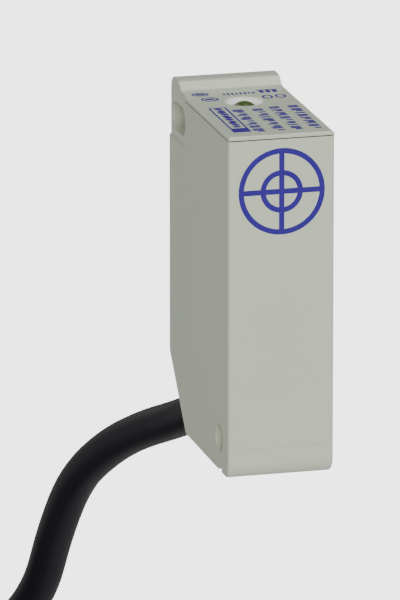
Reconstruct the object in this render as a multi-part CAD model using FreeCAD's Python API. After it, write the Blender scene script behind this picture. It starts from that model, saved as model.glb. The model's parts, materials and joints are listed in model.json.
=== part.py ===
"""Block-shaped inductive proximity sensor with a fixed cable, in millimetres.

The origin is the middle of the lower fixing hole, on the sensor's middle plane.
+X runs across the 12 mm width, +Y from the sensing face to the back, +Z up.
"""
import FreeCAD, Part
import math
import os

V = FreeCAD.Vector

# ---- Driving dimensions of the housing ----
WIDTH = 12.0
DEPTH = 26.0
HEIGHT = 40.0
SEAM_HEIGHT = 38.6
CAP_TOP = 39.0
WALL = 1.0
HOLE_FROM_FRONT = 3.9
HOLE_FROM_BOTTOM = 3.9
HOLE_RADIUS = 1.6
FRONT_EDGE_RADIUS = 1.8
EDGE_RADIUS = 0.35
CAVITY_FLOOR = 9.3
FOOT_GROOVE = (2.9, 4.9)
FOOT_GROOVE_DEPTHS = (0.7, 0.25)
WITNESS_HEIGHTS = (3.45, 3.57)
WITNESS_DEPTH = 0.05

# ---- Back chamfer, where the cable leaves ----
CHAMFER_TOP = 8.35
CHAMFER_FRONT = 18.3
CABLE_DROOP = math.radians(30.0)
CABLE_RADIUS = 2.2
BUSH_RADIUS = 2.9
BUSH_PROUD = 0.8
BUSH_LENGTH = 8.0
BUSH_INNER_END = 2.0
CRIMP_INNER_END = 0.4
LEAD_ROOM = 4.0
CLEAR_OUT = 6.0

# ---- Cover and its fixing lug ----
LUG_FRONT = 18.7
LUG_INSET = 0.2
LUG_BACK = DEPTH - 0.3
LUG_BOTTOM = 33.1
LUG_FACE_START = 20.7
LUG_FACE_END = 22.8
LUG_CORNER = 1.5
LUG_FOOT_RADIUS = 1.5
SEAM_GAP = 0.12
SEAM_GAP_DEPTH = 0.35
SLOT_CENTRE = (22.3, 35.7)
SLOT_HEIGHT = 3.3
SLOT_LENGTH = 5.8
SHELF = 1.1
LUG_OVERLAP = 0.5
PLUG_DEPTH = 1.0

# ---- Light, sensing coil and circuit board ----
LIGHT_CENTRE = (-0.1, 15.4)
CHIP_SIZE = (1.6, 1.2, 0.8)
LIGHT_RADIUS = 1.2
LIGHT_DOME = 1.75
DISH_RADIUS = 2.2
DISH_DEPTH = 0.8
COIL_CENTRE_HEIGHT = 32.6
CORE_RADIUS = 4.5
CORE_FRONT = 1.2
CORE_BACK = 5.8
CORE_WALL = 0.75
CORE_POST = 1.7
CORE_FLOOR = 1.3
CORE_SLIT = 1.0
CORE_SLIT_LIFT = 2.4
BOBBIN_WALL = 0.35
BOBBIN_RADIUS = 3.6
FLANGE = 0.3
WINDING_RADIUS = 3.45
WINDING_END = 0.12
RING_WALL = 0.35
RING_SHORT = 0.6
BOARD_HALF = 0.4
BOARD_FRONT = 6.6
BOARD_BOTTOM = 12.3
BOARD_TOP = 36.2
BOARD_STEP = 30.0
BOARD_TALL_BACK = 17.0
BOARD_WIDE_BACK = 24.0
LEAD_RADIUS = 0.6
LEG_LENGTH = 0.8
LEG_WIDTH = 0.4
LEG_THICKNESS = 0.3
PAD_DEPTHS = (10.2, 13.2, 16.2)
PAD_HEIGHT = 14.6
PAD_THICKNESS = 0.15
LEAD_STRAIGHT = 2.2
LEAD_RISE = 3.3

# ---- Free cable: route of its hanging stretch, in sensor coordinates ----
CABLE_LENGTH = 2000.0
ROUTE = [
    (0.0, 25.44, -3.875),
    (-2.1, 33.0, -7.5),
    (-4.7, 39.8, -10.5),
    (-7.2, 45.4, -14.0),
    (-9.8, 50.8, -19.1),
    (-11.35, 55.1, -26.9),
    (-12.4, 58.6, -35.4),
    (-15.8, 64.4, -42.1),
    (-21.4, 71.6, -46.2),
]
LANDING = (-28.8, 78.4, -46.9)
LANDING_HEADING = math.radians(50.0)

# ---- Put-away coil ----
TURN_PITCH = 2 * CABLE_RADIUS
TURNS_WIDE = 4
TURNS_HIGH = 3
COIL_MID_RADIUS = 25.0
TIE_THICKNESS = 0.6
TIE_WIDTH = 3.0
TIE_ANGLES = (-40.0, 215.0)
TAIL_RADIUS = 0.65
FERRULE_RADIUS = 0.5
FERRULE_LENGTH = 5.0
COIL_EDGE = 0.8 * CABLE_RADIUS
# Bared wires: angle at which they leave the coil, then for each point the
# further angle, the way outwards and the height over the coil's top.
TAIL_ANGLE = 95.0
TAIL_STEPS = ((0, 1.2, -1.4), (13, 1.8, 0.5), (26, 4.0, 0.9), (38, 7.6, 0.7), (50, 11.6, 0.65))
TAIL_SPREAD = 1.4
TAIL_FAN = 0.03


def place(depth, height):
    """Y and Z of a point given by its depth behind the front face and its height over the bottom."""
    return depth - HOLE_FROM_FRONT, height - HOLE_FROM_BOTTOM


def block(x_range, depth_range, height_range):
    """Box between two widths, two depths and two heights."""
    y0, z0 = place(depth_range[0], height_range[0])
    size = [abs(r[1] - r[0]) for r in (x_range, depth_range, height_range)]
    return Part.makeBox(*size, V(x_range[0], y0, z0))


def rod(radius, start, end):
    """Cylinder between two points."""
    along = V(*end) - V(*start)
    return Part.makeCylinder(radius, along.Length, V(*start), along)


def cross_rod(radius, depth, height, half_width=WIDTH):
    """Cylinder along X through the whole width."""
    y, z = place(depth, height)
    return rod(radius, (-half_width, y, z), (half_width, y, z))


def face_rod(radius, depth_range, height):
    """Cylinder along Y on the middle plane."""
    y0, z = place(depth_range[0], height)
    y1, _ = place(depth_range[1], height)
    return rod(radius, (0, y0, z), (0, y1, z))


def upright_rod(radius, x, depth, height_range):
    """Cylinder along Z."""
    y, z0 = place(depth, height_range[0])
    _, z1 = place(depth, height_range[1])
    return rod(radius, (x, y, z0), (x, y, z1))


def profile(edges, x_range):
    """Solid of a side outline, pushed from one width to the other."""
    face = Part.Face(Part.Wire(edges))
    face.translate(V(x_range[0], 0, 0))
    return face.extrude(V(x_range[1] - x_range[0], 0, 0))


def side_point(depth, height):
    """Point of a side outline."""
    return V(0, *place(depth, height))


def line(a, b):
    """Straight edge of a side outline."""
    return Part.LineSegment(side_point(*a), side_point(*b)).toShape()


def arc(a, b, c):
    """Arc edge of a side outline through three points."""
    return Part.Arc(side_point(*a), side_point(*b), side_point(*c)).toShape()


def fuse(shapes):
    """One shape of several that touch or overlap."""
    return shapes[0].multiFuse(shapes[1:]).removeSplitter()


def together(shapes):
    """One compound of separate solids."""
    return Part.makeCompound(shapes)


def round_path(points):
    """Straight runs joined by tangent arcs, with the arcs' radii."""
    nodes = [V(*p) for p in points]
    edges, radii, last = [], [], nodes[0]
    for before, corner, after in zip(nodes, nodes[1:], nodes[2:]):
        into, out = corner - before, after - corner
        half = into.getAngle(out) / 2
        trim = 0.45 * min(into.Length, out.Length)
        radius = trim / math.tan(half)
        into.normalize()
        out.normalize()
        start, end = corner - into * trim, corner + out * trim
        bisector = out - into
        bisector.normalize()
        middle = corner + bisector * (radius / math.cos(half) - radius)
        edges.append(Part.LineSegment(last, start).toShape())
        edges.append(Part.Arc(start, middle, end).toShape())
        radii.append(radius)
        last = end
    edges.append(Part.LineSegment(last, nodes[-1]).toShape())
    return Part.Wire(edges), radii


def tube(points, radius):
    """Round bar along a path, with its length and its arcs' radii."""
    path, radii = round_path(points)
    start = V(*points[0])
    ring = Part.Wire(Part.Circle(start, V(*points[1]) - start, radius).toShape())
    solid = path.makePipeShell([ring], True, False)
    expected = math.pi * radius**2 * path.Length
    assert abs(solid.Volume / expected - 1) < 0.01, (solid.Volume, expected)
    return solid, path.Length, radii


# ---- Cable entry ----
OUTWARD = V(0, math.cos(CABLE_DROOP), -math.sin(CABLE_DROOP))
ENTRY = V(0, *place((DEPTH + CHAMFER_FRONT) / 2, CHAMFER_TOP / 2))


def entry_point(distance):
    """Point on the cable's axis, counted outwards from the chamfer."""
    return tuple(ENTRY + OUTWARD * distance)


def entry_rod(radius, start, end):
    """Cylinder on the cable's axis between two distances from the chamfer."""
    return rod(radius, entry_point(start), entry_point(end))


def cavity():
    """Inside of the housing, open to the cover, with the channel to the cable entry."""
    half = WIDTH / 2 - WALL
    front = block((-half, half), (WALL, LUG_FRONT - WALL), (CAVITY_FLOOR, SEAM_HEIGHT))
    back = block((-half, half), (WALL, DEPTH - WALL), (CAVITY_FLOOR, LUG_BOTTOM - SHELF))
    return fuse([front, back, entry_rod(BUSH_RADIUS, -BUSH_LENGTH - LEAD_ROOM, 0.0)])


def lug_foot_middle():
    """Middle of the arc at the lug's lower front corner."""
    k = LUG_FOOT_RADIUS * (1 - math.sqrt(0.5))
    return LUG_FRONT + k, LUG_BOTTOM + k


def seam_gap():
    """Fine shadow gap round the top of the housing's wall, under the cover."""
    half = WIDTH / 2
    depth = SEAM_GAP_DEPTH
    heights = (SEAM_HEIGHT - SEAM_GAP, SEAM_HEIGHT)
    outer = block((-half - 1, half + 1), (-1, LUG_FRONT), heights)
    return outer.cut(block((-half + depth, half - depth), (depth, LUG_FRONT + 1), heights))


def foot_groove():
    """Wedge-shaped groove across the bottom, deeper at its front wall."""
    front, back = FOOT_GROOVE
    deep, shallow = FOOT_GROOVE_DEPTHS
    corners = [(front, -1.0), (front, deep), (back, shallow), (back, -1.0)]
    edges = [line(a, b) for a, b in zip(corners, [*corners[1:], corners[0]])]
    return profile(edges, (-WIDTH, WIDTH))


def make_case():
    """Moulded housing: block with a chamfered back corner, a fixing hole and a stepped back top."""
    r = FRONT_EDGE_RADIUS
    k = r * (1 - math.sqrt(0.5))
    foot = LUG_FOOT_RADIUS
    outline = [
        line((0, SEAM_HEIGHT), (0, r)),
        arc((0, r), (k, k), (r, 0)),
        line((r, 0), (CHAMFER_FRONT, 0)),
        line((CHAMFER_FRONT, 0), (DEPTH, CHAMFER_TOP)),
        line((DEPTH, CHAMFER_TOP), (DEPTH, LUG_BOTTOM)),
        line((DEPTH, LUG_BOTTOM), (LUG_FRONT + foot, LUG_BOTTOM)),
        arc((LUG_FRONT + foot, LUG_BOTTOM), lug_foot_middle(), (LUG_FRONT, LUG_BOTTOM + foot)),
        line((LUG_FRONT, LUG_BOTTOM + foot), (LUG_FRONT, SEAM_HEIGHT)),
        line((LUG_FRONT, SEAM_HEIGHT), (0, SEAM_HEIGHT)),
    ]
    body = profile(outline, (-WIDTH / 2, WIDTH / 2))
    upright = [e for e in body.Edges if abs(e.tangentAt(e.FirstParameter).z) > 0.999]
    outer = [e for e in upright if abs(e.CenterOfMass.y - place(LUG_FRONT, 0)[0]) > 1]
    body = body.makeFillet(EDGE_RADIUS, outer)
    witness = block((-WIDTH, WIDTH), (-1.0, WITNESS_DEPTH), WITNESS_HEIGHTS)
    hole = cross_rod(HOLE_RADIUS, HOLE_FROM_FRONT, HOLE_FROM_BOTTOM)
    channel = entry_rod(BUSH_RADIUS, -BUSH_LENGTH, CLEAR_OUT)
    for cutter in (cavity(), hole, channel, foot_groove(), witness, seam_gap()):
        body = body.cut(cutter)
    return body


def lug_outline():
    """Side outline of the lug, from the rounded back corner to the curved front step."""
    rise = HEIGHT - CAP_TOP
    run = LUG_FACE_END - LUG_FACE_START
    bend = (run**2 + rise**2) / (4 * rise)
    half = math.atan2(run / 2, bend - rise / 2) / 2
    middle = ((LUG_FACE_START + LUG_FACE_END) / 2, (CAP_TOP + HEIGHT) / 2)
    sag = bend * (1 - math.cos(half))
    low = (LUG_FACE_START + bend * math.sin(half), CAP_TOP + sag)
    high = (LUG_FACE_END - bend * math.sin(half), HEIGHT - sag)
    k = LUG_CORNER * (1 - math.sqrt(0.5))
    foot = LUG_FOOT_RADIUS
    return [
        line((LUG_FRONT + foot, LUG_BOTTOM), (LUG_BACK, LUG_BOTTOM)),
        line((LUG_BACK, LUG_BOTTOM), (LUG_BACK, HEIGHT - LUG_CORNER)),
        arc((LUG_BACK, HEIGHT - LUG_CORNER), (LUG_BACK - k, HEIGHT - k), (LUG_BACK - LUG_CORNER, HEIGHT)),
        line((LUG_BACK - LUG_CORNER, HEIGHT), (LUG_FACE_END, HEIGHT)),
        arc((LUG_FACE_END, HEIGHT), high, middle),
        arc(middle, low, (LUG_FACE_START, CAP_TOP)),
        line((LUG_FACE_START, CAP_TOP), (LUG_FRONT, CAP_TOP)),
        line((LUG_FRONT, CAP_TOP), (LUG_FRONT, LUG_BOTTOM + foot)),
        arc((LUG_FRONT, LUG_BOTTOM + foot), lug_foot_middle(), (LUG_FRONT + foot, LUG_BOTTOM)),
    ]


def slot():
    """Fixing slot through the lug, longer from front to back than it is high."""
    radius = SLOT_HEIGHT / 2
    half = SLOT_LENGTH / 2 - radius
    depth, height = SLOT_CENTRE
    ends = [cross_rod(radius, depth + side * half, height) for side in (-1, 1)]
    middle = block((-WIDTH, WIDTH), (depth - half, depth + half), (height - radius, height + radius))
    return fuse([*ends, middle])


def make_cap():
    """Cover plate with a plug inside the housing, the lug, its slot and the dish round the light."""
    half = WIDTH / 2
    plate = block((-half, half), (0, LUG_FRONT + LUG_OVERLAP), (SEAM_HEIGHT, CAP_TOP))
    front_y = place(0, 0)[0]
    top_z = place(0, CAP_TOP)[1]
    rim = [
        e for e in plate.Edges
        if abs(e.CenterOfMass.z - top_z) < 1e-6
        and (abs(abs(e.CenterOfMass.x) - half) < 1e-6 or abs(e.CenterOfMass.y - front_y) < 1e-6)
    ]
    plate = plate.makeFillet(EDGE_RADIUS, rim)
    lug = profile(lug_outline(), (-half + LUG_INSET, half - LUG_INSET))
    inner = half - WALL
    plug = block((-inner, inner), (WALL, LUG_FRONT - WALL), (SEAM_HEIGHT - PLUG_DEPTH, SEAM_HEIGHT))
    cap = fuse([plate, lug, plug])
    x, depth = LIGHT_CENTRE
    ball = (DISH_RADIUS**2 + DISH_DEPTH**2) / (2 * DISH_DEPTH)
    y, z = place(depth, CAP_TOP - DISH_DEPTH + ball)
    dish = Part.makeSphere(ball, V(x, y, z))
    light_hole = upright_rod(LIGHT_RADIUS, x, depth, (SEAM_HEIGHT - 2 * PLUG_DEPTH, CAP_TOP + 1))
    return cap.cut(slot()).cut(dish).cut(light_hole)


def make_light():
    """Light pipe with a low dome, and the light-emitting chip under it."""
    x, depth = LIGHT_CENTRE
    y, z = place(depth, CAP_TOP - LIGHT_DOME)
    foot = CAP_TOP - LIGHT_DOME / 2
    pipe = upright_rod(LIGHT_RADIUS, x, depth, (BOARD_TOP + CHIP_SIZE[2], foot))
    head = upright_rod(LIGHT_RADIUS, x, depth, (foot, CAP_TOP))
    lens = fuse([pipe, head.common(Part.makeSphere(LIGHT_DOME, V(x, y, z)))])
    wide, deep, high = CHIP_SIZE
    chip_depths = (depth - deep / 2, depth + deep / 2)
    chip = block((x - wide / 2, x + wide / 2), chip_depths, (BOARD_TOP, BOARD_TOP + high))
    return lens, chip


def make_sensing_head():
    """Pot core, bobbin, winding and shield ring behind the sensing face."""
    h = COIL_CENTRE_HEIGHT
    back = CORE_BACK - CORE_FLOOR
    play = 0.1
    slit = (-CORE_SLIT / 2, CORE_SLIT / 2)
    slit_heights = (h + CORE_SLIT_LIFT, h + CORE_SLIT_LIFT + CORE_SLIT)
    hub_radius = CORE_POST + BOBBIN_WALL
    core = face_rod(CORE_RADIUS, (CORE_FRONT, CORE_BACK), h)
    trough = face_rod(CORE_RADIUS - CORE_WALL, (CORE_FRONT - play, back), h)
    core = core.cut(trough.cut(face_rod(CORE_POST, (CORE_FRONT - 2 * play, CORE_BACK), h)))
    core = core.cut(block(slit, (back - play, CORE_BACK + play), slit_heights))
    hub = face_rod(hub_radius, (CORE_FRONT + play, back), h)
    flanges = [face_rod(BOBBIN_RADIUS, (d, d + FLANGE), h) for d in (CORE_FRONT + play, back - FLANGE)]
    bobbin = fuse([hub, *flanges]).cut(face_rod(CORE_POST, (0, back + 1), h))
    bobbin = bobbin.cut(block(slit, (back - FLANGE - play, back + play), slit_heights))
    winding = face_rod(WINDING_RADIUS, (CORE_FRONT + play + FLANGE, back - FLANGE), h)
    winding = winding.cut(face_rod(hub_radius, (0, back), h))
    ring = face_rod(CORE_RADIUS + RING_WALL, (CORE_FRONT, CORE_BACK - RING_SHORT), h)
    ring = ring.cut(face_rod(CORE_RADIUS, (0, CORE_BACK), h))
    foot = slit_heights[0] + 4 * WINDING_END
    reach = (back - FLANGE, BOARD_FRONT + 0.6)
    ends = [
        block((x - WINDING_END, x + WINDING_END), reach, (foot, foot + 2 * WINDING_END))
        for x in (-0.3, 0.3)
    ]
    return core, bobbin, winding, ring, ends


def chip_package(x0, depth_range, height_range, tall, legs):
    """Moulded chip on the board's +X side with legs at its lower and upper edges."""
    body = block((x0 + 0.1, x0 + tall), depth_range, height_range)
    span = depth_range[1] - depth_range[0]
    shapes = [body]
    for k in range(legs):
        depth = depth_range[0] + span * (k + 0.5) / legs
        leg_depths = (depth - LEG_WIDTH / 2, depth + LEG_WIDTH / 2)
        for edge in height_range:
            leg_heights = (edge - LEG_LENGTH, edge + LEG_LENGTH)
            shapes.append(block((x0, x0 + LEG_THICKNESS), leg_depths, leg_heights))
    return fuse(shapes)


def make_board():
    """Circuit board, stepped under the lug, upright on the middle plane."""
    tall = block((-BOARD_HALF, BOARD_HALF), (BOARD_FRONT, BOARD_TALL_BACK), (BOARD_BOTTOM, BOARD_TOP))
    wide = block((-BOARD_HALF, BOARD_HALF), (BOARD_FRONT, BOARD_WIDE_BACK), (BOARD_BOTTOM, BOARD_STEP))
    return fuse([tall, wide])


def make_components():
    """Everything that is soldered to the board, by name."""
    x0 = BOARD_HALF
    parts = {
        "oscillator_chip": chip_package(x0, (8.6, 13.6), (25.0, 29.0), 1.6, 4),
        "output_transistor": chip_package(x0, (17.6, 21.4), (19.0, 22.0), 1.5, 2),
    }
    regulator = block((-x0 - 1.4, -x0), (9.0, 12.5), (24.0, 27.5))
    parts["voltage_regulator"] = regulator
    parts["protection_diode"] = block((-x0 - 2.0, -x0), (17.5, 21.5), (16.0, 18.6))
    parts["capacitors"] = together([
        block((x0, x0 + 1.2), (14.8, 16.8), (h, h + 1.25)) for h in (31.0, 27.5, 24.0)
    ])
    parts["resistors"] = together([
        block((x0, x0 + 0.55), (d, d + 1.6), (h, h + 0.8))
        for d in (8.6, 11.4) for h in (21.8, 20.0, 18.2)
    ])
    parts["solder_pads"] = together([
        block((x0, x0 + PAD_THICKNESS), (d - 0.9, d + 0.9), (PAD_HEIGHT - 1.5, PAD_HEIGHT + 1.5))
        for d in PAD_DEPTHS
    ])
    return parts


def make_leads():
    """Three insulated leads from the cable's inner end to their pads on the board."""
    across, up = V(1, 0, 0), V(0, math.sin(CABLE_DROOP), math.cos(CABLE_DROOP))
    start = V(*entry_point(-BUSH_LENGTH))
    x_end = BOARD_HALF + PAD_THICKNESS + LEAD_RADIUS
    offsets = {
        "inner_lead_black": (0.2, -0.95),
        "inner_lead_blue": (-1.1, 0.3),
        "inner_lead_brown": (1.1, 0.75),
    }
    leads = {}
    for (name, (a, b)), depth in zip(offsets.items(), PAD_DEPTHS):
        first = start + across * a + up * b
        second = first - OUTWARD * LEAD_STRAIGHT
        y, z = place(depth, PAD_HEIGHT)
        third = V(x_end, y, z - LEAD_RISE)
        points = [tuple(p) for p in (first, second, third, V(x_end, y, z + 1.0))]
        leads[name] = tube(points, LEAD_RADIUS)[0]
    return leads


def make_entry():
    """Strain relief bush, the cable's end inside it and the crimp ring behind the bush."""
    bush = entry_rod(BUSH_RADIUS, -BUSH_LENGTH + BUSH_INNER_END, BUSH_PROUD)
    bush = bush.cut(entry_rod(CABLE_RADIUS, -BUSH_LENGTH, BUSH_PROUD + 1))
    end = entry_rod(CABLE_RADIUS, -BUSH_LENGTH, BUSH_PROUD)
    crimp = entry_rod(BUSH_RADIUS, -BUSH_LENGTH + CRIMP_INNER_END, -BUSH_LENGTH + BUSH_INNER_END)
    crimp = crimp.cut(entry_rod(CABLE_RADIUS, -BUSH_LENGTH, 0))
    return bush, end, crimp


def make_potting(inside):
    """Resin that fills the housing round everything in it."""
    half = WIDTH / 2
    below_cap = block((-half, half), (0, DEPTH), (0, SEAM_HEIGHT - PLUG_DEPTH))
    room = cavity().common(below_cap)
    return room.cut(entry_rod(BUSH_RADIUS, -BUSH_LENGTH + CRIMP_INNER_END, 1.0)).cut(together(inside))


def coil_centre():
    """Middle of the coil, so that its outer top turn carries on from the cable's landing."""
    outer = COIL_MID_RADIUS + (TURNS_WIDE - 1) / 2 * TURN_PITCH
    x = LANDING[0] - outer * math.cos(LANDING_HEADING)
    y = LANDING[1] - outer * math.sin(LANDING_HEADING)
    return x, y


def coil_section():
    """Inner and outer radius, bottom and top of the wound ring."""
    half = TURNS_WIDE / 2 * TURN_PITCH
    top = LANDING[2] + CABLE_RADIUS
    return COIL_MID_RADIUS - half, COIL_MID_RADIUS + half, top - TURNS_HIGH * TURN_PITCH, top


def make_coil():
    """Outer shape of the wound cable: a flat ring with rounded edges."""
    inner, outer, bottom, top = coil_section()
    x, y = coil_centre()
    ring = Part.makeCylinder(outer, top - bottom, V(x, y, bottom))
    ring = ring.cut(Part.makeCylinder(inner, top - bottom, V(x, y, bottom)))
    circles = [e for e in ring.Edges if len(e.Vertexes) == 1 and abs(e.tangentAt(0).z) < 0.01]
    return ring.makeFillet(COIL_EDGE, circles)


def make_ties(coil):
    """Straps round the ring's section."""
    inner, outer, bottom, top = coil_section()
    x, y = coil_centre()
    t = TIE_THICKNESS
    straps = []
    for angle in TIE_ANGLES:
        strap = Part.makeBox(
            outer - inner + 2 * t, TIE_WIDTH, top - bottom + 2 * t,
            V(x + inner - t, y - TIE_WIDTH / 2, bottom - t),
        )
        inside = Part.makeBox(
            outer - inner, TIE_WIDTH * 2, top - bottom, V(x + inner, y - TIE_WIDTH, bottom)
        )
        strap = strap.cut(inside)
        strap.rotate(V(x, y, 0), V(0, 0, 1), angle)
        straps.append(strap.cut(coil))
    return together(straps)


def on_coil(angle, radius, lift):
    """Point over the coil at an angle in degrees, a radius and a height over its top."""
    x, y = coil_centre()
    a = math.radians(angle)
    return x + radius * math.cos(a), y + radius * math.sin(a), coil_section()[3] + lift


def tail_route(side):
    """Route of one bared wire, from the cable's end in the inner top turn out over the coil."""
    inner = coil_section()[0] + CABLE_RADIUS
    points = []
    for turn, out, lift in TAIL_STEPS:
        spread = side * (TAIL_SPREAD + TAIL_FAN * turn)
        points.append(on_coil(TAIL_ANGLE + turn, inner + out + spread, lift))
    return points


def make_tails(coil):
    """Three bared wires on the coil and the ferrules on their ends."""
    tails, ferrules = {}, []
    for name, side in (("tail_brown", -1), ("tail_blue", 0), ("tail_black", 1)):
        points = tail_route(side)
        tails[name] = tube(points, TAIL_RADIUS)[0].cut(coil)
        end, before = V(*points[-1]), V(*points[-2])
        along = end - before
        along.normalize()
        ferrules.append(rod(FERRULE_RADIUS, tuple(end), tuple(end + along * FERRULE_LENGTH)))
    return tails, together(ferrules)


def make_cable(coil):
    """Hanging stretch of the cable, from the bush to the coil."""
    points = [entry_point(BUSH_PROUD), *ROUTE, LANDING]
    solid, length, radii = tube(points, CABLE_RADIUS)
    print("cable radii:", [round(r, 1) for r in radii])
    wound = TURNS_WIDE * TURNS_HIGH * 2 * math.pi * COIL_MID_RADIUS
    print(f"cable: {length:.0f} mm hanging, {wound:.0f} mm wound, {CABLE_LENGTH:.0f} mm nominal")
    return solid.cut(coil)


def build():
    """Every sub-part by its node name."""
    nodes = {"case": make_case(), "cap": make_cap()}
    nodes["led_lens"], nodes["led_chip"] = make_light()
    core, bobbin, winding, ring, ends = make_sensing_head()
    nodes.update(ferrite_core=core, coil_bobbin=bobbin, sensing_coil=winding, shield_ring=ring)
    nodes["circuit_board"] = make_board()
    nodes["coil_leads"] = together([e.cut(nodes["circuit_board"]).cut(winding) for e in ends])
    nodes.update(make_components())
    nodes.update(make_leads())
    nodes["cable_bush"], nodes["cable_end"], nodes["crimp_ring"] = make_entry()
    outside = ("case", "cap", "cable_bush", "crimp_ring")
    nodes["potting"] = make_potting([s for n, s in nodes.items() if n not in outside])
    coil = make_coil()
    nodes["cable_tube"] = make_cable(coil)
    nodes["cable_coil"] = coil
    tails, ferrules = make_tails(coil)
    nodes.update(tails)
    nodes["wire_ferrules"] = ferrules
    nodes["coil_ties"] = make_ties(coil)
    return nodes


os.makedirs("parts", exist_ok=True)
for node_name, shape in build().items():
    assert shape.isValid(), node_name
    shape.exportStep(f"parts/{node_name}.step")
    box = shape.optimalBoundingBox()
    print(
        f"{node_name}: {len(shape.Solids)} solid(s), {shape.Volume:.1f} mm3,"
        f" x {box.XMin:.2f}..{box.XMax:.2f} y {box.YMin:.2f}..{box.YMax:.2f} z {box.ZMin:.2f}..{box.ZMax:.2f}"
    )
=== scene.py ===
import json
import logging
import math
from collections.abc import Callable
from dataclasses import dataclass, field
from enum import Enum

import bpy
import numpy as np
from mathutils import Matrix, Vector


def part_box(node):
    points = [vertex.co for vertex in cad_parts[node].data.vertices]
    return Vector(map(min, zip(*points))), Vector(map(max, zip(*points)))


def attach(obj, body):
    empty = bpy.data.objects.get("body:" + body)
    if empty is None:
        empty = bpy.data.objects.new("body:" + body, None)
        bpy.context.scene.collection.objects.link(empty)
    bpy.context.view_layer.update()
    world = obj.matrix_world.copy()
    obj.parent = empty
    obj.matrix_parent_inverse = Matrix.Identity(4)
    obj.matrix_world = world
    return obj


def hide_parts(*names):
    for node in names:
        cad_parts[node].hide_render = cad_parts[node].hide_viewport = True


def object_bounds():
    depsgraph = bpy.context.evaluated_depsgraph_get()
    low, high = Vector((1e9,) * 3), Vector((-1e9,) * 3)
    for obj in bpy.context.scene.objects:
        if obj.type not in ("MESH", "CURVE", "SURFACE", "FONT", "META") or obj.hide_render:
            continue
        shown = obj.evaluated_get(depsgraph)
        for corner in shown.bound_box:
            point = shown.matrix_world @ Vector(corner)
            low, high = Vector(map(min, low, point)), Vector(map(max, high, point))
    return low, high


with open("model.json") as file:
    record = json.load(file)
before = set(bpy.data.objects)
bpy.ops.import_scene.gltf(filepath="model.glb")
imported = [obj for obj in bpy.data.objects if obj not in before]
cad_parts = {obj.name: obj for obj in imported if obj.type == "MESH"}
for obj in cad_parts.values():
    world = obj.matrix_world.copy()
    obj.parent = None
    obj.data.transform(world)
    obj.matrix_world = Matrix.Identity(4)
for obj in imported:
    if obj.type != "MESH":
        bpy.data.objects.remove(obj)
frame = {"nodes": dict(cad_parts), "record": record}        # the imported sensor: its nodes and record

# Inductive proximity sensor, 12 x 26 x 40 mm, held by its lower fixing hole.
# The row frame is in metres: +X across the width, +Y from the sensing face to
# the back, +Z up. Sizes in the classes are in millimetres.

LOG = logging.getLogger("proximity_sensor")
MM = 0.001
ROOT = "root"
CAD_BOX = [list(corner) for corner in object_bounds()]     # before anything is added
UPWARDS = Vector((0, 0, 1))
FORWARDS = Vector((0, -1, 0))
Colour = tuple[float, float, float]
Pair = tuple[float, float]
Mark = tuple[np.ndarray, bool]
Oval = tuple[float, float, float, float, float]
Piece = bpy.types.Object
MERGE = 0.0005     # points nearer than this, in millimetres, are one point
LUG_RISE = 1.0     # height of the lug over the cover's face, in millimetres
RIGHT_ANGLE = math.pi / 2


# ---------------------------------------------------------------- meshes ----

@dataclass
class Patch:
    """A surface given as points on a grid of two parameters, in millimetres.

    points has the shape (rows, columns, 3). round_rows and round_columns say
    that the last row or column joins the first.
    """

    points: np.ndarray
    round_rows: bool = False
    round_columns: bool = False

    def faces(self) -> np.ndarray:
        """Numbers the quads' corners.

        Corner (r, c) of the grid has the number r times the columns, plus c.

        Returns:
            Four corner numbers for each cell of the grid.
        """
        rows, columns = self.points.shape[:2]
        r = np.arange(rows if self.round_rows else rows - 1)
        c = np.arange(columns if self.round_columns else columns - 1)
        r, c = (a.ravel() for a in np.meshgrid(r, c, indexing="ij"))
        r2, c2 = (r + 1) % rows, (c + 1) % columns
        corners = [r * columns + c, r * columns + c2, r2 * columns + c2, r2 * columns + c]
        return np.stack(corners, axis=1)


def full_turn(steps: int) -> np.ndarray:
    """Angles round a circle, in radians, without the last one that repeats the first."""
    return np.linspace(0, 2 * math.pi, steps, endpoint=False)


def mesh_piece(
    name: str, patches: list[Patch], facing: Vector | None = None, smooth: bool = True
) -> Piece:
    """Makes one object of several patches.

    Quads with two equal corners, as at a pole, become triangles when doubles
    are merged. A closed shape is turned by the sign of its volume, which is a
    sixth of the sum of a . (b x c) over its triangles.

    Args:
        name: The piece's name.
        patches: The surfaces, in millimetres in the row frame.
        facing: For an open sheet, the way it faces. None for a closed shape.
        smooth: Whether the faces are shaded smooth.

    Returns:
        The object, at the origin, with its place in its mesh.
    """
    points = np.concatenate([p.points.reshape(-1, 3) for p in patches]) * MM
    starts = np.cumsum([0] + [p.points.shape[0] * p.points.shape[1] for p in patches[:-1]])
    faces = np.concatenate([p.faces() + start for p, start in zip(patches, starts)])
    keys = np.round(points / (MERGE * MM)).astype(np.int64)
    _, first, same = np.unique(keys, axis=0, return_index=True, return_inverse=True)
    points, faces = points[first], same.reshape(-1)[faces]
    a, b, c = (points[faces[:, k]] for k in (0, 1, 2))
    d = points[faces[:, 3]]
    if facing is None:
        volume = (a * np.cross(b, c)).sum() + (a * np.cross(c, d)).sum()
        flip = np.full(len(faces), volume < 0)
    else:
        flip = np.cross(c - a, d - b) @ np.array(facing) < 0
    faces[flip] = faces[flip][:, ::-1]
    cleaned = [list(dict.fromkeys(face)) for face in faces.tolist()]
    mesh = bpy.data.meshes.new(name)
    mesh.from_pydata(points.tolist(), [], [face for face in cleaned if len(face) > 2])
    mesh.polygons.foreach_set("use_smooth", np.full(len(mesh.polygons), smooth))
    mesh.update()
    piece = bpy.data.objects.new(name, mesh)
    bpy.context.scene.collection.objects.link(piece)
    return piece


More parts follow.
